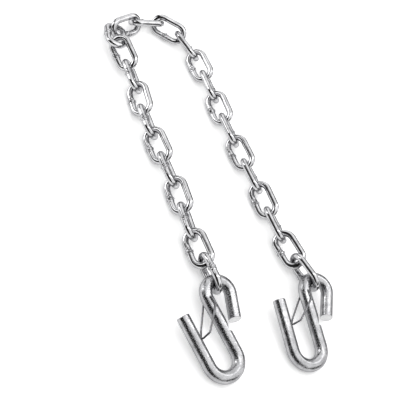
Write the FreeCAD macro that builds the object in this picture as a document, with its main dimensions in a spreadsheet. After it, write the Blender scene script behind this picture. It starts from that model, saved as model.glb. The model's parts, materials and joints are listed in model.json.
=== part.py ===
import FreeCAD, Part
import math
import os

# Trailer safety chain: a run of welded oval links with an S-hook at each end,
# and a spring-wire latch across the throat of each hook.
#
# The chain lies on a table as a horseshoe.  The table is Z = 0, +Z is up, +Y runs
# from the hooks to the bend, and the origin is under the middle of the whole lay.
# Link form: long axis X, width Y, centred on the origin.
# Hook form: flat in XY, shank on the Y axis, eye towards +Y, Y = 0 at the bowl's centre.

Vector = FreeCAD.Vector
X_AXIS = Vector(1, 0, 0)
Y_AXIS = Vector(0, 1, 0)
Z_AXIS = Vector(0, 0, 1)

# Driving dimensions in millimetres and degrees; they fill the spreadsheet.
DIMENSIONS = {
    "wire_dia": 7.0,          # wire of every link, 1/4 in trade size
    "link_pitch": 31.5,       # inside length of a link
    "link_width": 26.4,       # outside width of a link
    "end_link_width": 29.0,   # the two links that carry hooks are spread to pass the bar
    "link_gap": 0.2,          # free play where two wires touch
    "hooked_link_play": 1.6,  # more play beside the hooked links, which cross on the skew
    "hook_gap": 0.6,          # free play of a hook's eye on its link
    "weld_rise": 0.6,         # height of the flash ring above the wire
    "weld_ring": 1.2,         # section radius of the flash ring
    "bar_dia": 12.7,          # round bar of the hooks, 1/2 in
    "bowl_spacing": 33.0,     # short leg to shank, centre to centre
    "shank_len": 55.6,        # bowl centre to eye centre
    "short_leg_len": 50.6,    # bowl centre to the start of the tip's chamfer
    "eye_spacing": 27.0,      # shank to the far side of the eye, centre to centre
    "eye_turn": 22.0,         # how far the eye is bent past a half circle, degrees
    "eye_leg_len": 25.4,      # straight end of the eye
    "tip_chamfer": 0.6,       # broken edge of the short leg's sawn end
    "saw_slant": 10.0,        # the saw cut through the eye's end is off square, degrees
    "latch_wire": 1.9,        # spring wire of the latch
    "latch_height": 55.6,     # bowl centre to the latch's hole in the shank
    "latch_play": 0.06,       # radial clearance of the wire in its hole
    "latch_bend": 1.5,        # bend radius of the spring wire, on its centre line
    "latch_lift": 0.1,        # air between the shank and the wire beside it
    "latch_end_depth": 3.2,   # the wire's ends stop this far from the bar's middle
    "latch_lay": 8.0,         # the upper strand lies along the shank this far
    "latch_offset": 0.8,      # and drifts this much to the eye's side
    "latch_reach": 30.5,      # the hole to the nose's lower corner, along the shank
    "latch_nose_gap": 0.35,   # air between the nose and the short leg
    "latch_nose_drop": 0.6,   # the nose's two corners, one lower than the other
    "latch_nose_half": 2.0,   # half height of the nose across the hook's flat
    "latch_knee": 6.0,        # the strands bend to the nose this far before it
}

LINK_COUNT = 25
FIRST_LINK_CENTRE = Vector(-32.7, -88.5, 15.2)

# How each link lies, from the left hook round to the right one, in degrees.
# Heading: direction of travel, clockwise from +Y.
LINK_HEADINGS = [0, 1, 4, 3, -1, -2, 1, 6, 2, -7, 18, 70, 89,
                 134, 166, 177, 181, 181, 180, 178, 178, 180, 179, 175, 172]
# Climb: slope of a link's long axis.  The hooked ends rise to the hooks' eyes, and the
# links at the bend ride up on each other.
LINK_CLIMBS = {1: -8, 2: -4, 3: -1, 10: 7, 11: -13, 13: -4, 14: 3, 23: 1, 24: 4, 25: 8}
# Lean: slope of a link's width about its long axis.  Neighbours lean opposite ways,
# 45 degrees each; the hooked links stand nearly on edge, and the bend swaps the sides.
EVEN_LEAN = 45
FIRST_LINK_AFTER_SWAP = 12
LINK_LEANS = {1: -79, 2: 38, 10: 46, 11: -4, 12: -53, 13: 44, 14: -47, 24: -38, 25: 79}
# Slip: at the bend the wires bear beside the crown of the link before, in millimetres.
LINK_SLIPS = {
    10: Vector(-0.5, -1.3, 3.1),
    11: Vector(-2.5, -2.3, 0.0),
    12: Vector(0.8, -3.2, 0.7),
    13: Vector(-1.7, 0.2, 0.8),
    14: Vector(-0.8, -0.4, 0.6),
    15: Vector(0.4, 0.3, -1.6),
}

# Heading and slope of each hook's shank, bowl to eye, in degrees.
HOOK_HEADINGS = {"left": -12, "right": 5}
HOOK_CLIMB = 7.35

doc = FreeCAD.newDocument("trailer_safety_chain")
sheet = doc.addObject("Spreadsheet::Sheet", "sizes")


def fill_sheet():
    """Write every driving dimension to the sheet, with its name as the cell's alias."""
    for row, (name, value) in enumerate(DIMENSIONS.items(), start=1):
        sheet.set("A%d" % row, name)
        sheet.set("B%d" % row, str(value))
        sheet.setAlias("B%d" % row, name)
    doc.recompute()


def size(name):
    """Value of a driving dimension, read from the sheet."""
    return float(sheet.get(name))


def bound(kind, name, expressions, rotation=None):
    """Add a Part primitive whose properties follow the sheet.

    Placement.Base expressions keep the given rotation.
    """
    primitive = doc.addObject(kind, name)
    if rotation is not None:
        primitive.Placement = FreeCAD.Placement(Vector(), rotation)
    for prop, expression in expressions.items():
        primitive.setExpression(prop, expression)
    return primitive


def fused(name, label, pieces):
    """Join primitives into one solid."""
    result = doc.addObject("Part::MultiFuse", name)
    result.Shapes = pieces
    result.Label = label
    return result


# --- chain links -----------------------------------------------------------------

def link_form(prefix, width_alias):
    """Primitives of one oval link: two half-round ends, two side bars, weld flash."""
    wire = "sizes.wire_dia"
    end_radius = "(sizes.%s - %s) / 2" % (width_alias, wire)
    straight = "(sizes.link_pitch + %s - 2 * %s)" % (wire, end_radius)
    along_x = FreeCAD.Rotation(Y_AXIS, 90)
    pieces = []
    for side, sign in (("left", ""), ("right", "-")):
        pieces.append(bound("Part::Cylinder", prefix + "_bar_" + side, {
            "Radius": wire + " / 2",
            "Height": straight,
            "Placement.Base.x": "-%s / 2" % straight,
            "Placement.Base.y": sign + end_radius,
        }, along_x))
    for end, sign, turn in (("front", "", -90), ("back", "-", 90)):
        pieces.append(bound("Part::Torus", prefix + "_end_" + end, {
            "Radius1": end_radius,
            "Radius2": wire + " / 2",
            "Angle3": "180",
            "Placement.Base.x": "%s%s / 2" % (sign, straight),
        }, FreeCAD.Rotation(Z_AXIS, turn)))
    pieces.append(bound("Part::Torus", prefix + "_weld", {
        "Radius1": wire + " / 2 + sizes.weld_rise - sizes.weld_ring",
        "Radius2": "sizes.weld_ring",
        "Placement.Base.y": "-" + end_radius,
    }, along_x))
    return pieces


def lean_of(number):
    """Lean of a link's width in degrees."""
    if number in LINK_LEANS:
        return LINK_LEANS[number]
    lean = EVEN_LEAN if number % 2 == 0 else -EVEN_LEAN
    return -lean if number >= FIRST_LINK_AFTER_SWAP else lean


def directions(heading, climb, lean):
    """Unit vectors along and across a piece that travels along a heading."""
    turn = math.radians(heading)
    rise = math.radians(climb)
    tilt = math.radians(lean)
    along = Vector(math.sin(turn) * math.cos(rise), math.cos(turn) * math.cos(rise), math.sin(rise))
    right = Vector(math.cos(turn), -math.sin(turn), 0)
    upward = right.cross(along)
    across = right * math.cos(tilt) + upward * math.sin(tilt)
    return along, across


def link_layout():
    """Centre, long-axis direction and width direction of every link.

    Each link's end wire crosses inside the one before it, one wire and the free play apart.
    """
    reach = (size("link_pitch") + size("wire_dia")) / 2
    spacing = size("wire_dia") + size("link_gap")
    layout = []
    for number in range(1, LINK_COUNT + 1):
        along, across = directions(LINK_HEADINGS[number - 1], LINK_CLIMBS.get(number, 0), lean_of(number))
        if not layout:
            layout.append((FIRST_LINK_CENTRE, along, across))
            continue
        last_centre, last_along, last_across = layout[-1]
        pull = (last_along + along).normalize()
        if number in LINK_SLIPS:
            overlap = spacing
        else:
            normal = last_across.cross(across).normalize()
            overlap = spacing / abs(pull.dot(normal))
        if number in (2, LINK_COUNT):
            overlap += size("hooked_link_play")
        centre = last_centre + last_along * reach - pull * overlap + along * reach
        centre += LINK_SLIPS.get(number, Vector())
        layout.append((centre, along, across))
    return layout


def placement_of(origin, x_direction, y_direction):
    """Placement of a form whose X and Y axes point the given ways."""
    rotation = FreeCAD.Rotation(x_direction, y_direction, x_direction.cross(y_direction), "XYZ")
    return FreeCAD.Placement(origin, rotation)


# --- hooks -----------------------------------------------------------------------

def eye_arc_end():
    """Expressions for the point where the eye's arc runs into its straight end."""
    eye = "sizes.eye_spacing / 2"
    return "%s + %s * cos(sizes.eye_turn)" % (eye, eye), "sizes.shank_len - %s * sin(sizes.eye_turn)" % eye


def hook_form():
    """Primitives of the hook: short leg, bowl, shank, eye and its straight end."""
    bar = "sizes.bar_dia / 2"
    bowl = "sizes.bowl_spacing / 2"
    eye = "sizes.eye_spacing / 2"
    blunt = "%s - sizes.tip_chamfer" % bar
    upright = FreeCAD.Rotation(X_AXIS, -90)
    turn = DIMENSIONS["eye_turn"]
    arc_end_x, arc_end_y = eye_arc_end()
    return [
        bound("Part::Cylinder", "short_leg", {
            "Radius": bar,
            "Height": "sizes.short_leg_len",
            "Placement.Base.x": "-sizes.bowl_spacing",
        }, upright),
        bound("Part::Cone", "short_leg_tip", {
            "Radius1": bar,
            "Radius2": blunt,
            "Height": "sizes.tip_chamfer",
            "Placement.Base.x": "-sizes.bowl_spacing",
            "Placement.Base.y": "sizes.short_leg_len",
        }, upright),
        bound("Part::Torus", "bowl", {
            "Radius1": bowl,
            "Radius2": bar,
            "Angle3": "180",
            "Placement.Base.x": "-" + bowl,
        }, FreeCAD.Rotation(Z_AXIS, 180)),
        bound("Part::Cylinder", "shank", {
            "Radius": bar,
            "Height": "sizes.shank_len",
        }, upright),
        bound("Part::Torus", "eye", {
            "Radius1": eye,
            "Radius2": bar,
            "Angle3": "180 + sizes.eye_turn",
            "Placement.Base.x": eye,
            "Placement.Base.y": "sizes.shank_len",
        }, FreeCAD.Rotation(Z_AXIS, -turn)),
        bound("Part::Cylinder", "eye_leg", {
            "Radius": bar,
            "Height": "sizes.eye_leg_len + sizes.bar_dia / 2",
            "Placement.Base.x": arc_end_x,
            "Placement.Base.y": arc_end_y,
        }, FreeCAD.Rotation(Z_AXIS, -turn).multiply(FreeCAD.Rotation(X_AXIS, 90))),
    ]


def hook_cuts():
    """Cutting tools of the hook: the latch's hole and the slanted saw cut of the eye's end."""
    turn = DIMENSIONS["eye_turn"]
    slant = DIMENSIONS["saw_slant"]
    arc_end_x, arc_end_y = eye_arc_end()
    return [
        bound("Part::Cylinder", "latch_hole", {
            "Radius": "sizes.latch_wire / 2 + sizes.latch_play",
            "Height": "2 * sizes.bar_dia",
            "Placement.Base.y": "sizes.latch_height",
            "Placement.Base.z": "-sizes.bar_dia",
        }),
        bound("Part::Cylinder", "saw_cut", {
            "Radius": "sizes.bar_dia",
            "Height": "sizes.bar_dia",
            "Placement.Base.x": arc_end_x + " - sizes.eye_leg_len * sin(sizes.eye_turn)",
            "Placement.Base.y": arc_end_y + " - sizes.eye_leg_len * cos(sizes.eye_turn)",
        }, FreeCAD.Rotation(Z_AXIS, -turn).multiply(FreeCAD.Rotation(X_AXIS, 90 - slant))),
    ]


def hook_placement(side, layout):
    """Place a hook so that its eye hangs in the end link, one play from the link's wire.

    The eye's bar bears where its ring is square to the pull of the link.
    """
    centre, along, _ = layout[0] if side == "left" else layout[-1]
    inward = along if side == "left" else along * -1
    link_end = centre - inward * ((size("link_pitch") + size("wire_dia")) / 2)
    axis, right = directions(HOOK_HEADINGS[side], HOOK_CLIMB, 0)
    stand_off = (size("bar_dia") + size("wire_dia")) / 2 + size("hook_gap")
    flat = right.cross(axis)
    outward = (inward - flat * inward.dot(flat)).normalize()
    eye_radius = size("eye_spacing") / 2
    eye_centre = link_end + inward * stand_off - outward * eye_radius
    origin = eye_centre - right * eye_radius - axis * size("shank_len")
    return placement_of(origin, right, axis)


# --- latches ---------------------------------------------------------------------

def latch_points():
    """Corners of the latch wire in the hook's frame.

    Both ends drop into the shank's hole, the strands pass each side of the shank, and
    the slanted nose bears on the inner face of the short leg.
    """
    hole = size("latch_height")
    end = size("latch_end_depth")
    level = size("bar_dia") / 2 + size("latch_bend") + size("latch_lift")
    nose = (size("bar_dia") + size("latch_wire")) / 2 + size("latch_nose_gap") - size("bowl_spacing")
    half = size("latch_nose_half")
    lower = hole - size("latch_reach")
    upper = lower + size("latch_nose_drop")
    knee = nose + size("latch_knee")
    return [
        Vector(0, hole, end),
        Vector(0, hole, level),
        Vector(size("latch_offset"), hole - size("latch_lay"), level),
        Vector(knee, lower + half, level - 4 * size("latch_lift")),
        Vector(nose, lower, half),
        Vector(nose, upper, -half),
        Vector(knee, upper + size("latch_knee"), -size("bar_dia") / 2),
        Vector(0, hole, -level),
        Vector(0, hole, -end),
    ]


def bent_wire(points, radius, bend):
    """Round wire through the points: straight runs joined by true bends."""
    starts = [points[0]]
    ends = []
    bends = []
    for before, corner, after in zip(points, points[1:], points[2:]):
        arriving = (corner - before).normalize()
        leaving = (after - corner).normalize()
        angle = arriving.getAngle(leaving)
        setback = bend * math.tan(angle / 2)
        first = corner - arriving * setback
        last = corner + leaving * setback
        axis = arriving.cross(leaving).normalize()
        centre = first + axis.cross(arriving) * bend
        bends.append((first, arriving, centre, axis, math.degrees(angle)))
        ends.append(first)
        starts.append(last)
    ends.append(points[-1])
    solids = []
    for start, end in zip(starts, ends):
        run = end - start
        solids.append(Part.makeCylinder(radius, run.Length, start, run))
    for first, arriving, centre, axis, angle in bends:
        section = Part.Face(Part.Wire(Part.makeCircle(radius, first, arriving)))
        solids.append(section.revolve(centre, axis, angle))
    return solids[0].multiFuse(solids[1:]).removeSplitter()


# --- assembly --------------------------------------------------------------------

def place_on_table(nodes, placements):
    """Shift everything so that the lowest point is at Z = 0 and the origin is central."""
    for label, node in nodes.items():
        node.Placement = placements[label]
    doc.recompute()
    whole = Part.makeCompound([node.Shape for node in nodes.values()]).optimalBoundingBox(False)
    shift = Vector(-(whole.XMin + whole.XMax) / 2, -(whole.YMin + whole.YMax) / 2, -whole.ZMin)
    for label, node in nodes.items():
        moved = FreeCAD.Placement(placements[label])
        moved.Base = moved.Base + shift
        node.Placement = moved
    doc.recompute()


def check_objects(nodes):
    """Stop if any object failed or a node is not one valid solid."""
    for item in doc.Objects:
        if "Invalid" in item.State or "Error" in item.State:
            raise RuntimeError("%s did not compute: %s" % (item.Name, item.State))
    for label, node in nodes.items():
        shape = node.Shape
        if shape.isNull() or not shape.isValid() or len(shape.Solids) != 1:
            raise RuntimeError("%s is not one valid solid" % label)


def build():
    """Build every node, place it, check it and write its STEP file."""
    fill_sheet()
    plain = link_form("link", "link_width")
    spread = link_form("end_link", "end_link_width")
    layout = link_layout()
    nodes = {}
    placements = {}
    for number, (centre, along, across) in enumerate(layout, start=1):
        label = "chain_link_%02d" % number
        form = spread if number in (1, LINK_COUNT) else plain
        nodes[label] = fused("chain_link_%02d" % number, label, form)
        turned_over = number % 2 == 0 and number >= FIRST_LINK_AFTER_SWAP
        placements[label] = placement_of(centre, along, across * (-1 if turned_over else 1))

    hook_bar = fused("hook_bar", "hook_bar", hook_form())
    cuts = fused("hook_cuts", "hook_cuts", hook_cuts())
    latch_shape = bent_wire(latch_points(), size("latch_wire") / 2, size("latch_bend"))
    for side in ("left", "right"):
        hook = doc.addObject("Part::Cut", "hook_" + side)
        hook.Base = hook_bar
        hook.Tool = cuts
        hook.Label = "s_hook_" + side
        latch = doc.addObject("Part::Feature", "latch_" + side)
        latch.Label = "latch_spring_" + side
        latch.Shape = latch_shape
        for node in (hook, latch):
            nodes[node.Label] = node
            placements[node.Label] = hook_placement(side, layout)

    place_on_table(nodes, placements)
    check_objects(nodes)
    os.makedirs("parts", exist_ok=True)
    for label, node in nodes.items():
        node.Shape.exportStep(os.path.join("parts", label + ".step"))
        box = node.Shape.BoundBox
        print("%-18s volume %8.1f  z %.2f..%.2f" % (label, node.Shape.Volume, box.ZMin, box.ZMax))
    return nodes


build()
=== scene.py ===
"""Looks of a trailer safety chain: welded links, two S-hooks and their spring-wire latches.

The chain lies on a pale table as a horseshoe, hooks towards -Y and the bend towards +Y.
Links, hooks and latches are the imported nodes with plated-steel materials of their own.
Added here: the weld bead on each link, the burrs of the hooks' sawn ends and drilled
holes, the table, the lights and the camera.  Lengths are in metres.
"""

import json
import logging
import math
import random
from dataclasses import dataclass, field
from enum import Enum

import bpy
import numpy as np
from mathutils import Matrix, Quaternion, Vector


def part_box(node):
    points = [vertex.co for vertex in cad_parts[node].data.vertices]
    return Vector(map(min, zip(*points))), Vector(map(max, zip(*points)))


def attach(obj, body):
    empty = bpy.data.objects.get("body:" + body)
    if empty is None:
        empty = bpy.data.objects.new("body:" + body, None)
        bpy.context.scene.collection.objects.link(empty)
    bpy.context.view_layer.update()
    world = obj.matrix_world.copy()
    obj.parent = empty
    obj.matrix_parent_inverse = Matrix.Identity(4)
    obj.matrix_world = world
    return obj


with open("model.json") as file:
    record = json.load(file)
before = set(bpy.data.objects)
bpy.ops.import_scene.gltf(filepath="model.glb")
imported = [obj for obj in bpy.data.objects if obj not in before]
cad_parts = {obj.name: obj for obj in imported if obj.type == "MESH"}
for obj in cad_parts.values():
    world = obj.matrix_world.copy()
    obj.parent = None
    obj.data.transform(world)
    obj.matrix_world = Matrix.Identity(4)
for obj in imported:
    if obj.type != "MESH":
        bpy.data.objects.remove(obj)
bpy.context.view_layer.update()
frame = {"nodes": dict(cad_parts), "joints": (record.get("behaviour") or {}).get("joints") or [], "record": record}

LOG = logging.getLogger("safety_chain")
MM = 0.001


class Slot(Enum):
    """Names of two material slots of the record; nothing in this script reads them."""

    LINK = "link_zinc"
    HOOK = "hook_zinc"


class Side(Enum):
    """The two ends of the chain."""

    LEFT = "left"
    RIGHT = "right"


# --- finishes --------------------------------------------------------------------


@dataclass(frozen=True)
class PlateFinish:
    """Zinc-plated steel: its two tones, its gloss and the marks of drawing and rolling.

    Args:
        name: Name of the material.
        bright: Colour of clean plate.
        dull: Colour of the plate inside a cloud.
        gloss: Roughness of the brightest and of the dullest plate.
        cloud_scale: Clouds per metre.
        streak_scale: Drawing lines per metre across the bar.
        pit_scale: Pits per metre.
        pit_share: Share of the surface that is pitted, 0 to 1.
        relief: Height of the marks in metres.
        rim: Tint of the reflection seen along the surface.
    """

    name: str
    bright: tuple[float, float, float]
    dull: tuple[float, float, float]
    gloss: tuple[float, float]
    cloud_scale: float
    streak_scale: float
    pit_scale: float
    pit_share: float
    relief: float
    rim: tuple[float, float, float] = (0.50, 0.50, 0.51)


LINK_PLATE = PlateFinish(
    name="link_plate",
    bright=(0.60, 0.60, 0.61),
    dull=(0.42, 0.42, 0.43),
    gloss=(0.06, 0.15),
    cloud_scale=150,
    streak_scale=1800,
    pit_scale=1500,
    pit_share=0.20,
    relief=0.05 * MM,
)
WELD_PLATE = PlateFinish(
    name="weld_plate",
    bright=(0.54, 0.54, 0.55),
    dull=(0.22, 0.22, 0.23),
    gloss=(0.10, 0.30),
    cloud_scale=420,
    streak_scale=900,
    pit_scale=1400,
    pit_share=0.40,
    relief=0.12 * MM,
)
HOOK_PLATE = PlateFinish(
    name="hook_plate",
    bright=(0.50, 0.50, 0.51),
    dull=(0.33, 0.33, 0.34),
    gloss=(0.12, 0.24),
    cloud_scale=70,
    streak_scale=1500,
    pit_scale=800,
    pit_share=0.45,
    relief=0.20 * MM,
)
WIRE_PLATE = PlateFinish(
    name="wire_plate",
    bright=(0.26, 0.26, 0.27),
    dull=(0.13, 0.13, 0.135),
    gloss=(0.25, 0.40),
    cloud_scale=300,
    streak_scale=3000,
    pit_scale=2600,
    pit_share=0.15,
    relief=0.02 * MM,
)


def plate_material(finish: PlateFinish, bar_direction: Vector) -> bpy.types.Material:
    """Make a zinc-plate material whose drawing lines run along a bar.

    Args:
        finish: Tones, gloss and marks.
        bar_direction: Direction of the drawing lines in the row frame.

    Returns:
        The material.
    """
    material = bpy.data.materials.new(finish.name)
    material.use_nodes = True
    nodes = material.node_tree.nodes
    links = material.node_tree.links
    nodes.clear()

    coordinates = nodes.new("ShaderNodeTexCoord")
    coordinates.label = "place on the metal"
    coordinates.location = (-1700, 0)

    # Clouds: slow changes of tone in the plate.
    cloud_frame = nodes.new("NodeFrame")
    cloud_frame.label = "clouded plate"
    cloud = nodes.new("ShaderNodeTexNoise")
    cloud.label = "clouds"
    cloud.location = (-1100, 500)
    cloud.parent = cloud_frame
    cloud.inputs["Scale"].default_value = finish.cloud_scale
    cloud.inputs["Detail"].default_value = 5.0
    cloud.inputs["Roughness"].default_value = 0.6
    cloud_edge = nodes.new("ShaderNodeValToRGB")
    cloud_edge.label = "edge of a cloud"
    cloud_edge.location = (-850, 500)
    cloud_edge.parent = cloud_frame
    cloud_edge.color_ramp.elements[0].position = 0.38
    cloud_edge.color_ramp.elements[1].position = 0.66
    tone = nodes.new("ShaderNodeMix")
    tone.label = "bright to dull"
    tone.location = (-500, 500)
    tone.parent = cloud_frame
    tone.data_type = "RGBA"
    tone.inputs[6].default_value = (*finish.bright, 1.0)
    tone.inputs[7].default_value = (*finish.dull, 1.0)

    # Drawing lines: long fine streaks along the bar.
    streak_frame = nodes.new("NodeFrame")
    streak_frame.label = "drawing lines"
    lie = nodes.new("ShaderNodeMapping")
    lie.label = "turn to the bar, stretch along it"
    lie.location = (-1400, 100)
    lie.parent = streak_frame
    lie.vector_type = "TEXTURE"
    lie.inputs["Rotation"].default_value = bar_direction.to_track_quat("Y", "Z").to_euler()
    lie.inputs["Scale"].default_value = (1.0, 18.0, 1.0)
    streak = nodes.new("ShaderNodeTexNoise")
    streak.label = "streaks"
    streak.location = (-1100, 100)
    streak.parent = streak_frame
    streak.inputs["Scale"].default_value = finish.streak_scale
    streak.inputs["Detail"].default_value = 3.0

    # Pits: small hollows left by rolling and pickling.
    pit_frame = nodes.new("NodeFrame")
    pit_frame.label = "pits"
    pit = nodes.new("ShaderNodeTexNoise")
    pit.label = "pitting"
    pit.location = (-1100, -250)
    pit.parent = pit_frame
    pit.inputs["Scale"].default_value = finish.pit_scale
    pit.inputs["Detail"].default_value = 4.0
    pit.inputs["Roughness"].default_value = 0.65
    pit_depth = nodes.new("ShaderNodeMapRange")
    pit_depth.label = "only the deepest count"
    pit_depth.location = (-850, -250)
    pit_depth.parent = pit_frame
    pit_depth.inputs["From Min"].default_value = 0.25 + 0.5 * finish.pit_share
    pit_depth.inputs["From Max"].default_value = 0.05 + 0.5 * finish.pit_share

    # Gloss: dull clouds and pits scatter more.
    gloss_frame = nodes.new("NodeFrame")
    gloss_frame.label = "gloss"
    gloss = nodes.new("ShaderNodeMapRange")
    gloss.label = "cloud to roughness"
    gloss.location = (-500, 150)
    gloss.parent = gloss_frame
    gloss.inputs["To Min"].default_value = finish.gloss[0]
    gloss.inputs["To Max"].default_value = finish.gloss[1]
    pit_gloss = nodes.new("ShaderNodeMath")
    pit_gloss.label = "pits are rougher"
    pit_gloss.location = (-250, 150)
    pit_gloss.parent = gloss_frame
    pit_gloss.operation = "MULTIPLY_ADD"
    pit_gloss.use_clamp = True
    pit_gloss.inputs[1].default_value = 0.25

    # Relief: streaks and pits together.
    relief_frame = nodes.new("NodeFrame")
    relief_frame.label = "relief"
    height = nodes.new("ShaderNodeMath")
    height.label = "streaks less pits"
    height.location = (-500, -200)
    height.parent = relief_frame
    height.operation = "MULTIPLY_ADD"
    height.inputs[1].default_value = -0.8
    bump = nodes.new("ShaderNodeBump")
    bump.label = "surface relief"
    bump.location = (-250, -200)
    bump.parent = relief_frame
    bump.inputs["Strength"].default_value = 0.5
    bump.inputs["Distance"].default_value = finish.relief

    steel = nodes.new("ShaderNodeBsdfPrincipled")
    steel.label = "plated steel"
    steel.location = (50, 200)
    steel.inputs["Metallic"].default_value = 1.0
    steel.inputs["Specular Tint"].default_value = (*finish.rim, 1.0)
    output = nodes.new("ShaderNodeOutputMaterial")
    output.location = (350, 200)

    links.new(coordinates.outputs["Object"], cloud.inputs["Vector"])
    links.new(cloud.outputs["Fac"], cloud_edge.inputs["Fac"])
    links.new(cloud_edge.outputs["Color"], tone.inputs["Factor"])
    links.new(coordinates.outputs["Object"], lie.inputs["Vector"])
    links.new(lie.outputs["Vector"], streak.inputs["Vector"])
    links.new(coordinates.outputs["Object"], pit.inputs["Vector"])
    links.new(pit.outputs["Fac"], pit_depth.inputs["Value"])
    links.new(cloud_edge.outputs["Color"], gloss.inputs["Value"])
    links.new(pit_depth.outputs["Result"], pit_gloss.inputs[0])
    links.new(gloss.outputs["Result"], pit_gloss.inputs[2])
    links.new(pit_depth.outputs["Result"], height.inputs[0])
    links.new(streak.outputs["Fac"], height.inputs[2])
    links.new(height.outputs["Value"], bump.inputs["Height"])
    links.new(tone.outputs[2], steel.inputs["Base Color"])
    links.new(pit_gloss.outputs["Value"], steel.inputs["Roughness"])
    links.new(bump.outputs["Normal"], steel.inputs["Normal"])
    links.new(steel.outputs["BSDF"], output.inputs["Surface"])
    return material


@dataclass(frozen=True)
class SawnFinish:
    """Sawn steel under thin plate: pale, matt, with the saw's parallel scratches.

    Args:
        name: Name of the material.
        light: Colour of the bare stretches.
        dark: Colour of the stained scratches.
        roughness: Roughness of the whole face.
        scratch_scale: Scratches per metre.
        relief: Depth of a scratch in metres.
    """

    name: str = "sawn_end"
    light: tuple[float, float, float] = (0.86, 0.86, 0.86)
    dark: tuple[float, float, float] = (0.60, 0.60, 0.61)
    roughness: float = 0.55
    scratch_scale: float = 900.0
    relief: float = 0.08 * MM


def sawn_material(finish: SawnFinish) -> bpy.types.Material:
    """Make the material of a sawn face.

    Args:
        finish: Tones and scratches.

    Returns:
        The material.
    """
    material = bpy.data.materials.new(finish.name)
    material.use_nodes = True
    nodes = material.node_tree.nodes
    links = material.node_tree.links
    nodes.clear()

    coordinates = nodes.new("ShaderNodeTexCoord")
    coordinates.label = "place on the cut"
    coordinates.location = (-1100, 0)

    scratch_frame = nodes.new("NodeFrame")
    scratch_frame.label = "saw scratches"
    scratch = nodes.new("ShaderNodeTexWave")
    scratch.label = "blade marks"
    scratch.location = (-850, 150)
    scratch.parent = scratch_frame
    scratch.inputs["Scale"].default_value = finish.scratch_scale
    scratch.inputs["Distortion"].default_value = 3.0
    scratch.inputs["Detail"].default_value = 2.0
    stain = nodes.new("ShaderNodeTexNoise")
    stain.label = "uneven plate"
    stain.location = (-850, -150)
    stain.parent = scratch_frame
    stain.inputs["Scale"].default_value = 260.0
    stain.inputs["Detail"].default_value = 4.0

    tone_frame = nodes.new("NodeFrame")
    tone_frame.label = "tone and relief"
    blend = nodes.new("ShaderNodeMath")
    blend.label = "scratches over stains"
    blend.location = (-600, 50)
    blend.parent = tone_frame
    blend.operation = "MULTIPLY"
    tone = nodes.new("ShaderNodeMix")
    tone.label = "light to dark"
    tone.location = (-350, 150)
    tone.parent = tone_frame
    tone.data_type = "RGBA"
    tone.inputs[6].default_value = (*finish.light, 1.0)
    tone.inputs[7].default_value = (*finish.dark, 1.0)
    bump = nodes.new("ShaderNodeBump")
    bump.label = "scratch relief"
    bump.location = (-350, -150)
    bump.parent = tone_frame
    bump.inputs["Strength"].default_value = 0.6
    bump.inputs["Distance"].default_value = finish.relief

    steel = nodes.new("ShaderNodeBsdfPrincipled")
    steel.label = "sawn steel"
    steel.location = (-50, 100)
    steel.inputs["Metallic"].default_value = 0.7
    steel.inputs["Roughness"].default_value = finish.roughness
    output = nodes.new("ShaderNodeOutputMaterial")
    output.location = (250, 100)

    links.new(coordinates.outputs["Object"], scratch.inputs["Vector"])
    links.new(coordinates.outputs["Object"], stain.inputs["Vector"])
    links.new(scratch.outputs["Fac"], blend.inputs[0])
    links.new(stain.outputs["Fac"], blend.inputs[1])
    links.new(blend.outputs["Value"], tone.inputs["Factor"])
    links.new(scratch.outputs["Fac"], bump.inputs["Height"])
    links.new(tone.outputs[2], steel.inputs["Base Color"])
    links.new(bump.outputs["Normal"], steel.inputs["Normal"])
    links.new(steel.outputs["BSDF"], output.inputs["Surface"])
    return material


# --- meshes ----------------------------------------------------------------------


def ring_mesh(name: str, rings: list[list[Vector]], closed: bool) -> bpy.types.Object:
    """Skin a row of closed rings into one smooth mesh.

    Args:
        name: Name of the piece.
        rings: Points of each ring, all rings with the same count.
        closed: True joins the last ring to the first, False caps both ends.

    Returns:
        The new object, linked to the scene.
    """
    count = len(rings[0])
    vertices = [point for ring in rings for point in ring]
    faces = []
    last = len(rings) if closed else len(rings) - 1
    for row in range(last):
        near = row * count
        far = (row + 1) % len(rings) * count
        for column in range(count):
            following = (column + 1) % count
            faces.append((near + column, near + following, far + following, far + column))
    if not closed:
        faces.append(tuple(reversed(range(count))))
        faces.append(tuple(range((len(rings) - 1) * count, len(rings) * count)))
    mesh = bpy.data.meshes.new(name)
    mesh.from_pydata(vertices, [], faces)
    mesh.validate()
    mesh.shade_smooth()
    piece = bpy.data.objects.new(name, mesh)
    bpy.context.scene.collection.objects.link(piece)
    return piece


# --- chain links -----------------------------------------------------------------


@dataclass(frozen=True)
class BeadShape:
    """Profile of a weld bead, in millimetres along the bar and in shares of the bead's rise.

    Args:
        collar_width: Width of the ring in the middle.
        collar_lean: How much higher the ring is towards the link's eye.
        pinch_place: Distance of the pinched ring on each side from the middle.
        pinch_width: Width of a pinched ring.
        pinch_share: Height of a pinched ring.
        pinch_height: Mean and swing of that height round the bar.
        lumps: Heights of the three lumps and of the five finer lumps round the bar.
        lump_twist: How far the finer lumps turn along the bar, in radians per millimetre.
        ripple: Height of the ripples that run round the bar.
        ripple_pace: Ripples along the bar, in radians per millimetre.
        uneven_reach: How far lumps and ripples reach from the middle.
    """

    collar_width: float = 1.15
    collar_lean: float = 0.35
    pinch_place: float = 3.1
    pinch_width: float = 0.8
    pinch_share: float = 0.42
    pinch_height: tuple[float, float] = (0.7, 0.5)
    lumps: tuple[float, float] = (0.10, 0.08)
    lump_twist: float = 1.7
    ripple: float = 0.24
    ripple_pace: float = 2.8
    uneven_reach: float = 4.4


def hump(place: float, width: float) -> float:
    """Return the height of a smooth hump of height 1, at a place measured from its middle."""
    return math.exp(-((place / width) ** 2))


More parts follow.
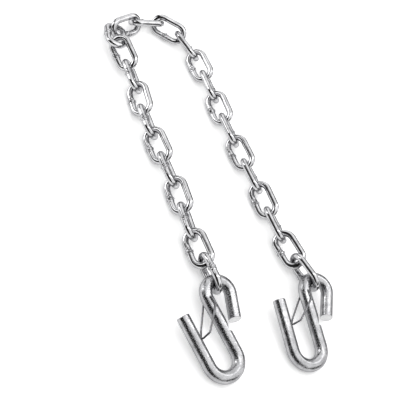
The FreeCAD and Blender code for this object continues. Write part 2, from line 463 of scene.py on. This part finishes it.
@dataclass
class WeldedLink:
    """One oval link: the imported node, its own axes, and the weld bead that is added."""

    number: int
    wire_radius: float = 3.5 * MM
    shape: BeadShape = BeadShape()
    bead_half_length: float = 6.0 * MM
    bead_rise: float = 0.95 * MM
    embed: float = 0.12 * MM
    first_seed: int = 100
    rings: int = 49
    ring_points: int = 40
    node: bpy.types.Object = field(init=False)
    centre: Vector = field(init=False)
    along: Vector = field(init=False)
    to_weld: Vector = field(init=False)
    half_width: float = field(init=False)

    def __post_init__(self) -> None:
        """Find the link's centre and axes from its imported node."""
        self.node = frame["nodes"][self.name]
        self.centre = self.eye_centre()
        points = np.array([vertex.co for vertex in self.node.data.vertices]) - np.array(self.centre)
        _, directions = np.linalg.eigh(points.T @ points)
        self.along = Vector(directions[:, 2])
        self.to_weld = Vector(directions[:, 1])
        reach = points @ directions[:, 1]
        if -reach.min() > reach.max():
            self.to_weld.negate()
        self.half_width = min(-reach.min(), reach.max())

    @property
    def name(self) -> str:
        """Name of the node and of its body."""
        return f"chain_link_{self.number:02d}"

    def eye_centre(self) -> Vector:
        """Return the middle of the link's eye, from the record's opening."""
        openings = frame["record"]["physics"]["openings"]
        box = next(o["box_m"] for o in openings if o["name"] == f"link_eye_{self.number:02d}")
        return (Vector(box[0]) + Vector(box[1])) / 2

    def bead_height(self, place: float, angle: float, phases: list[float]) -> float:
        """Height of the weld above the wire.

        Args:
            place: Distance along the bar from the weld's middle.
            angle: Angle round the bar, 0 towards the link's eye.
            phases: Random phases that make each bead differ.

        Returns:
            The height in metres; below zero hides the skirt inside the wire.
        """
        shape = self.shape
        step = place / MM
        collar = hump(step, shape.collar_width) * (1.0 + shape.collar_lean * math.cos(angle))
        mean, swing = shape.pinch_height
        pinch = shape.pinch_share * hump(abs(step) - shape.pinch_place, shape.pinch_width)
        pinch *= mean + swing * math.cos(angle + phases[0])
        coarse, fine = shape.lumps
        lumps = coarse * math.sin(3 * angle + phases[1])
        lumps += fine * math.sin(5 * angle + shape.lump_twist * step + phases[2])
        ripples = shape.ripple * math.sin(shape.ripple_pace * step + angle + phases[3])
        uneven = (lumps + ripples) * hump(step, shape.uneven_reach)
        fade = max(0.0, 1.0 - (abs(place) / self.bead_half_length) ** 4)
        return self.bead_rise * (collar + pinch + uneven) * fade - self.embed * (1.0 - fade)

    def build_bead(self) -> bpy.types.Object:
        """Build the uneven collar that the welding machine leaves round the bar."""
        luck = random.Random(self.first_seed + self.number)
        phases = [luck.uniform(0.0, math.tau) for _ in range(4)]
        inward = -self.to_weld
        sideways = self.along.cross(inward)
        middle = self.centre + self.to_weld * (self.half_width - self.wire_radius)
        rows = []
        for index in range(self.rings):
            place = self.bead_half_length * (2.0 * index / (self.rings - 1) - 1.0)
            row = []
            for turn in range(self.ring_points):
                angle = math.tau * turn / self.ring_points
                radius = self.wire_radius + self.bead_height(place, angle, phases)
                outward = inward * math.cos(angle) + sideways * math.sin(angle)
                row.append(middle + self.along * place + outward * radius)
            rows.append(row)
        bead = ring_mesh(f"weld_bead_{self.number:02d}", rows, closed=False)
        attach(bead, self.name)
        return bead

    def dress(self, bead: bpy.types.Object) -> None:
        """Give the link and its bead their plated finish.

        Args:
            bead: The weld bead.
        """
        self.node.data.materials.clear()
        self.node.data.materials.append(plate_material(LINK_PLATE, self.along))
        bead.data.materials.append(plate_material(WELD_PLATE, self.along))


@dataclass
class Chain:
    """The run of welded links from one hook to the other."""

    count: int = 25

    def build(self) -> None:
        """Add and dress the weld bead of every link."""
        for number in range(1, self.count + 1):
            link = WeldedLink(number)
            link.dress(link.build_bead())
            LOG.info("%s welded and plated", link.name)


# --- hooks -----------------------------------------------------------------------


@dataclass
class SHook:
    """One S-hook of round bar, with its own axes.

    In the hook's axes the shank is on Y from the bowl's centre, the short leg is at -X,
    the eye at +X and the flat of the hook is square to Z.  A face belongs to a sawn end if
    the cosine between its normal and the end's is over square_cosine, and it lies no deeper
    than face_depth.  Corners further out than edge_share of the end's reach are its outline.
    """

    side: Side
    bar_radius: float = 6.35 * MM
    eye_turn: float = math.radians(22)
    saw_slant: float = math.radians(10)
    hole_radius: float = 1.01 * MM
    square_cosine: float = 0.9995
    face_depth: float = 0.05 * MM
    edge_share: float = 0.6
    burr_thickness: float = 0.16 * MM
    saw_unevenness: tuple[float, float] = (0.55, 1.0)
    drill_unevenness: tuple[float, float] = (0.8, 1.1)
    lip_points: int = 8
    hole_steps: int = 36
    hole_seed: int = 7
    eye_seed: int = 31
    leg_seed: int = 32
    node: bpy.types.Object = field(init=False)
    to_row: Matrix = field(init=False)
    hole_height: float = field(init=False)

    def __post_init__(self) -> None:
        """Find the hook's axes from its mount and its latch's joint."""
        self.node = frame["nodes"][self.name]
        mounts = frame["record"]["mounts"]
        mount = next(m for m in mounts if m["name"] == f"hook_bowl_{self.side.value}")
        joint = next(j for j in frame["joints"] if j["child"] == f"latch_spring_{self.side.value}")
        y_axis = -Vector(mount["axis"])
        z_axis = Vector(joint["axis"])
        x_axis = y_axis.cross(z_axis)
        hole = Vector(joint["pos_m"])
        bowl = Vector(mount["pos_m"])
        self.hole_height = (hole - bowl).dot(y_axis)
        origin = hole - y_axis * self.hole_height
        turn = Matrix((x_axis, y_axis, z_axis)).transposed().to_4x4()
        self.to_row = Matrix.Translation(origin) @ turn

    @property
    def name(self) -> str:
        """Name of the node and of its body."""
        return f"s_hook_{self.side.value}"

    def leg_normal(self) -> Vector:
        """Return the normal of the short leg's sawn end, in the hook's axes."""
        return Vector((0.0, 1.0, 0.0))

    def eye_normal(self) -> Vector:
        """Return the normal of the eye's sawn end, in the hook's axes."""
        flat = math.cos(self.saw_slant)
        return Vector(
            (-math.sin(self.eye_turn) * flat, -math.cos(self.eye_turn) * flat, math.sin(self.saw_slant))
        )

    def end_faces(self, normal: Vector) -> list[bpy.types.MeshPolygon]:
        """Find the faces of a sawn end, which stands clear of the shank.

        Args:
            normal: The end's outward normal in the hook's axes.

        Returns:
            The end's faces.
        """
        turned = self.to_row.to_3x3() @ normal
        to_hook = self.to_row.inverted()
        beside = 1.0 if normal.x < 0.0 else -1.0
        polygons = self.node.data.polygons
        clear = [p for p in polygons if (to_hook @ p.center).x * beside > self.bar_radius]
        facing = [p for p in clear if p.normal.dot(turned) > self.square_cosine]
        level = max(p.center.dot(turned) for p in facing)
        return [p for p in facing if p.center.dot(turned) > level - self.face_depth]

    def rim(self, normal: Vector) -> list[Vector]:
        """Outline of a sawn end.

        Args:
            normal: The end's outward normal in the hook's axes.

        Returns:
            The outline's points in the row frame, in order round the bar.
        """
        turned = self.to_row.to_3x3() @ normal
        mesh = self.node.data
        corners = {v for p in self.end_faces(normal) for v in p.vertices}
        points = [mesh.vertices[v].co.copy() for v in corners]
        middle = sum(points, Vector()) / len(points)
        reach = max((p - middle).length for p in points)
        across = turned.orthogonal().normalized()
        up = turned.cross(across)
        edge = [p for p in points if (p - middle).length > self.edge_share * reach]
        return sorted(edge, key=lambda p: math.atan2((p - middle).dot(up), (p - middle).dot(across)))

    def build_burr(self, name: str, outline: list[Vector], seed: int) -> bpy.types.Object:
        """Build the thin torn lip that the saw leaves round an end.

        Args:
            name: Name of the piece.
            outline: Points round the end in the row frame.
            seed: Seed of the lip's unevenness.

        Returns:
            The lip.
        """
        luck = random.Random(seed)
        middle = sum(outline, Vector()) / len(outline)
        rows = []
        for index, point in enumerate(outline):
            ahead = outline[(index + 1) % len(outline)] - outline[index - 1]
            outward = (point - middle).normalized()
            up = outward.cross(ahead).normalized()
            thickness = self.burr_thickness * luck.uniform(*self.saw_unevenness)
            centre = point - outward * thickness * 0.5
            row = []
            for turn in range(self.lip_points):
                angle = math.tau * turn / self.lip_points
                row.append(centre + (outward * math.cos(angle) + up * math.sin(angle)) * thickness)
            rows.append(row)
        burr = ring_mesh(name, rows, closed=True)
        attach(burr, self.name)
        return burr

    def build_hole_rim(self, face: int) -> bpy.types.Object:
        """Build the raised rim that the drill leaves round the latch's hole.

        Args:
            face: +1 for the upper side of the shank, -1 for the lower one.

        Returns:
            The rim.
        """
        luck = random.Random(self.hole_seed + face)
        rows = []
        for index in range(self.hole_steps):
            angle = math.tau * index / self.hole_steps
            outward = Vector((math.cos(angle), math.sin(angle), 0.0))
            thickness = self.burr_thickness * luck.uniform(*self.drill_unevenness)
            reach = self.hole_radius + thickness
            level = math.sqrt(self.bar_radius**2 - (reach * math.cos(angle)) ** 2)
            centre = outward * reach + Vector((0.0, self.hole_height, face * level))
            row = []
            for turn in range(self.lip_points):
                slope = math.tau * turn / self.lip_points
                offset = outward * math.cos(slope) + Vector((0.0, 0.0, math.sin(slope)))
                row.append(self.to_row @ (centre + offset * thickness))
            rows.append(row)
        place = "upper" if face > 0 else "lower"
        rim = ring_mesh(f"drilled_rim_{self.side.value}_{place}", rows, closed=True)
        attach(rim, self.name)
        return rim

    def dress(self, trim: list[bpy.types.Object]) -> None:
        """Plate the bar, and give the two sawn ends their matt face.

        Args:
            trim: Burrs and rims, which take the bar's finish.
        """
        rotation = self.to_row.to_3x3()
        plate = plate_material(HOOK_PLATE, rotation @ Vector((0, 1, 0)))
        mesh = self.node.data
        mesh.materials.clear()
        mesh.materials.append(plate)
        mesh.materials.append(sawn_material(SawnFinish()))
        for normal in (self.leg_normal(), self.eye_normal()):
            for polygon in self.end_faces(normal):
                polygon.material_index = 1
        for piece in trim:
            piece.data.materials.append(plate)

    def build(self) -> None:
        """Add the trim of the hook and dress it."""
        trim = [self.build_hole_rim(face) for face in (1, -1)]
        side = self.side.value
        trim.append(self.build_burr(f"saw_burr_{side}_eye", self.rim(self.eye_normal()), self.eye_seed))
        trim.append(self.build_burr(f"saw_burr_{side}_leg", self.rim(self.leg_normal()), self.leg_seed))
        self.dress(trim)
        LOG.info("%s trimmed and plated", self.name)


@dataclass
class LatchSpring:
    """The bent spring wire that closes a hook's throat."""

    side: Side

    def build(self) -> None:
        """Dress the latch's wire."""
        node = frame["nodes"][f"latch_spring_{self.side.value}"]
        low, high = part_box(node.name)
        node.data.materials.clear()
        node.data.materials.append(plate_material(WIRE_PLATE, (high - low).normalized()))
        LOG.info("%s plated", node.name)


# --- studio ----------------------------------------------------------------------


def table_material() -> bpy.types.Material:
    """Make the pale table's material, with a faint grain and a glow that thins the shadows."""
    material = bpy.data.materials.new("pale_table")
    material.use_nodes = True
    nodes = material.node_tree.nodes
    links = material.node_tree.links
    nodes.clear()
    coordinates = nodes.new("ShaderNodeTexCoord")
    coordinates.label = "place on the table"
    coordinates.location = (-800, 0)
    grain_frame = nodes.new("NodeFrame")
    grain_frame.label = "faint grain"
    grain = nodes.new("ShaderNodeTexNoise")
    grain.label = "paper grain"
    grain.location = (-550, 0)
    grain.parent = grain_frame
    grain.inputs["Scale"].default_value = 320.0
    tone = nodes.new("ShaderNodeMix")
    tone.label = "two near whites"
    tone.location = (-300, 0)
    tone.parent = grain_frame
    tone.data_type = "RGBA"
    tone.inputs[6].default_value = (0.94, 0.94, 0.94, 1.0)
    tone.inputs[7].default_value = (0.96, 0.96, 0.96, 1.0)
    paper = nodes.new("ShaderNodeBsdfPrincipled")
    paper.label = "matt paper, lit from below"
    paper.location = (0, 0)
    paper.inputs["Roughness"].default_value = 0.8
    paper.inputs["Emission Color"].default_value = (1.0, 1.0, 1.0, 1.0)
    paper.inputs["Emission Strength"].default_value = 0.35
    output = nodes.new("ShaderNodeOutputMaterial")
    output.location = (300, 0)
    links.new(coordinates.outputs["Object"], grain.inputs["Vector"])
    links.new(grain.outputs["Fac"], tone.inputs["Factor"])
    links.new(tone.outputs[2], paper.inputs["Base Color"])
    links.new(paper.outputs["BSDF"], output.inputs["Surface"])
    return material


@dataclass(frozen=True)
class Softbox:
    """An area lamp: its place from the aim, its width and length in metres, its power in watts."""

    name: str
    from_aim: tuple[float, float, float]
    sides: tuple[float, float]
    power: float


@dataclass(frozen=True)
class Doorway:
    """A dark doorway in the tent: where it is, and how close to it its soft edge starts and ends."""

    towards: tuple[float, float, float]
    edges: tuple[float, float]


@dataclass
class Studio:
    """Pale table, light tent, soft lamps and the camera."""

    table_size: float = 6.0
    bend_link: str = "chain_link_13"
    aim_from_bend: tuple[float, float, float] = (-0.0210, -0.2387, -0.0109)
    camera_from_aim: tuple[float, float, float] = (-0.4006, -0.3173, 0.5984)
    camera_roll: float = math.radians(35.9)
    lens: float = 67.5
    tent_light: float = 1.36
    dark_tone: float = 0.03
    slit_normal: tuple[float, float, float] = (0.83, 0.0, 0.556)
    slit_edges: tuple[float, float] = (0.10, 0.23)
    doorways: tuple[Doorway, ...] = (
        Doorway((-0.93, -0.25, 0.27), (0.56, 0.74)),
        Doorway((0.50, -0.85, 0.10), (0.86, 0.95)),
        Doorway((0.95, 0.25, 0.20), (0.86, 0.96)),
    )
    softboxes: tuple[Softbox, ...] = (
        Softbox("overhead_softbox", (0.35, 0.0, 1.1), (0.24, 2.4), 3.2),
        Softbox("left_softbox", (-1.0, 0.9, 0.45), (0.40, 1.2), 4.0),
    )

    def build_table(self) -> None:
        """Lay the table under the chain."""
        half = self.table_size / 2
        mesh = bpy.data.meshes.new("table")
        corners = [(-half, -half, 0), (half, -half, 0), (half, half, 0), (-half, half, 0)]
        mesh.from_pydata(corners, [], [(0, 1, 2, 3)])
        table = bpy.data.objects.new("table", mesh)
        bpy.context.scene.collection.objects.link(table)
        table.data.materials.append(table_material())

    def build_tent(self) -> None:
        """Surround the table with a white tent that has a dark slit and three dark doorways."""
        world = bpy.data.worlds.new("light_tent")
        bpy.context.scene.world = world
        world.use_nodes = True
        nodes = world.node_tree.nodes
        links = world.node_tree.links
        nodes.clear()
        direction = nodes.new("ShaderNodeTexCoord")
        direction.label = "direction"
        direction.location = (-900, 0)

        slit_frame = nodes.new("NodeFrame")
        slit_frame.label = "narrow dark slit over the chain"
        slit = nodes.new("ShaderNodeVectorMath")
        slit.label = "side of the slit"
        slit.location = (-700, 200)
        slit.parent = slit_frame
        slit.operation = "DOT_PRODUCT"
        slit.inputs[1].default_value = Vector(self.slit_normal).normalized()
        distance = nodes.new("ShaderNodeMath")
        distance.label = "distance from the slit"
        distance.location = (-520, 200)
        distance.parent = slit_frame
        distance.operation = "ABSOLUTE"
        slit_edge = nodes.new("ShaderNodeValToRGB")
        slit_edge.label = "soft edge of the slit"
        slit_edge.location = (-350, 200)
        slit_edge.parent = slit_frame
        slit_edge.color_ramp.elements[0].position = self.slit_edges[0]
        slit_edge.color_ramp.elements[0].color = (self.dark_tone,) * 3 + (1.0,)
        slit_edge.color_ramp.elements[1].position = self.slit_edges[1]
        slit_edge.color_ramp.elements[1].color = (1.0, 1.0, 1.0, 1.0)

        # Each doorway is a dark patch in the tent; they are multiplied onto the slit.
        shade = slit_edge.outputs["Color"]
        for index, doorway in enumerate(self.doorways):
            row = -150 - 300 * index
            door_frame = nodes.new("NodeFrame")
            door_frame.label = f"dark doorway {index + 1}"
            door = nodes.new("ShaderNodeVectorMath")
            door.label = "closeness to the doorway"
            door.location = (-700, row)
            door.parent = door_frame
            door.operation = "DOT_PRODUCT"
            door.inputs[1].default_value = Vector(doorway.towards).normalized()
            door_edge = nodes.new("ShaderNodeValToRGB")
            door_edge.label = "soft edge of the doorway"
            door_edge.location = (-350, row)
            door_edge.parent = door_frame
            door_edge.color_ramp.elements[0].position = doorway.edges[0]
            door_edge.color_ramp.elements[0].color = (1.0, 1.0, 1.0, 1.0)
            door_edge.color_ramp.elements[1].position = doorway.edges[1]
            door_edge.color_ramp.elements[1].color = (self.dark_tone,) * 3 + (1.0,)
            both = nodes.new("ShaderNodeMix")
            both.label = "shade so far and this doorway"
            both.location = (-60, row + 200)
            both.parent = door_frame
            both.data_type = "RGBA"
            both.blend_type = "MULTIPLY"
            both.inputs["Factor"].default_value = 1.0
            links.new(direction.outputs["Generated"], door.inputs[0])
            links.new(door.outputs["Value"], door_edge.inputs["Fac"])
            links.new(shade, both.inputs[6])
            links.new(door_edge.outputs["Color"], both.inputs[7])
            shade = both.outputs[2]
        cloth = nodes.new("ShaderNodeBackground")
        cloth.label = "tent cloth"
        cloth.location = (150, 0)
        cloth.inputs["Strength"].default_value = self.tent_light
        output = nodes.new("ShaderNodeOutputWorld")
        output.location = (400, 0)
        links.new(direction.outputs["Generated"], slit.inputs[0])
        links.new(slit.outputs["Value"], distance.inputs[0])
        links.new(distance.outputs["Value"], slit_edge.inputs["Fac"])
        links.new(shade, cloth.inputs["Color"])
        links.new(cloth.outputs["Background"], output.inputs["Surface"])

    def add_lamp(self, softbox: Softbox, aim: Vector) -> None:
        """Hang a softbox, its long side on Y.

        Args:
            softbox: The lamp.
            aim: The point that it lights.
        """
        lamp = bpy.data.lights.new(softbox.name, "AREA")
        lamp.shape = "RECTANGLE"
        lamp.size, lamp.size_y = softbox.sides
        lamp.energy = softbox.power
        place = aim + Vector(softbox.from_aim)
        holder = bpy.data.objects.new(softbox.name, lamp)
        holder.location = place
        holder.rotation_mode = "QUATERNION"
        holder.rotation_quaternion = (aim - place).to_track_quat("-Z", "Y")
        bpy.context.scene.collection.objects.link(holder)

    def build(self) -> None:
        """Build the table, the tent, the lamps and the camera."""
        low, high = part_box(self.bend_link)
        aim = (low + high) / 2 + Vector(self.aim_from_bend)
        self.build_table()
        self.build_tent()
        for softbox in self.softboxes:
            self.add_lamp(softbox, aim)
        place = aim + Vector(self.camera_from_aim)
        camera = bpy.data.objects.new("camera", bpy.data.cameras.new("camera"))
        camera.data.lens = self.lens
        camera.location = place
        camera.rotation_mode = "QUATERNION"
        level = (aim - place).to_track_quat("-Z", "Y")
        camera.rotation_quaternion = level @ Quaternion((0, 0, 1), self.camera_roll)
        bpy.context.scene.collection.objects.link(camera)
        bpy.context.scene.camera = camera
        bpy.context.scene.view_settings.view_transform = "Standard"
        LOG.info("studio built")


def main() -> None:
    """Build the studio, the chain, the hooks and the latches."""
    logging.basicConfig(level=logging.INFO)
    Studio().build()
    Chain().build()
    for side in Side:
        SHook(side).build()
        LatchSpring(side).build()


if __name__ == "__main__":
    main()
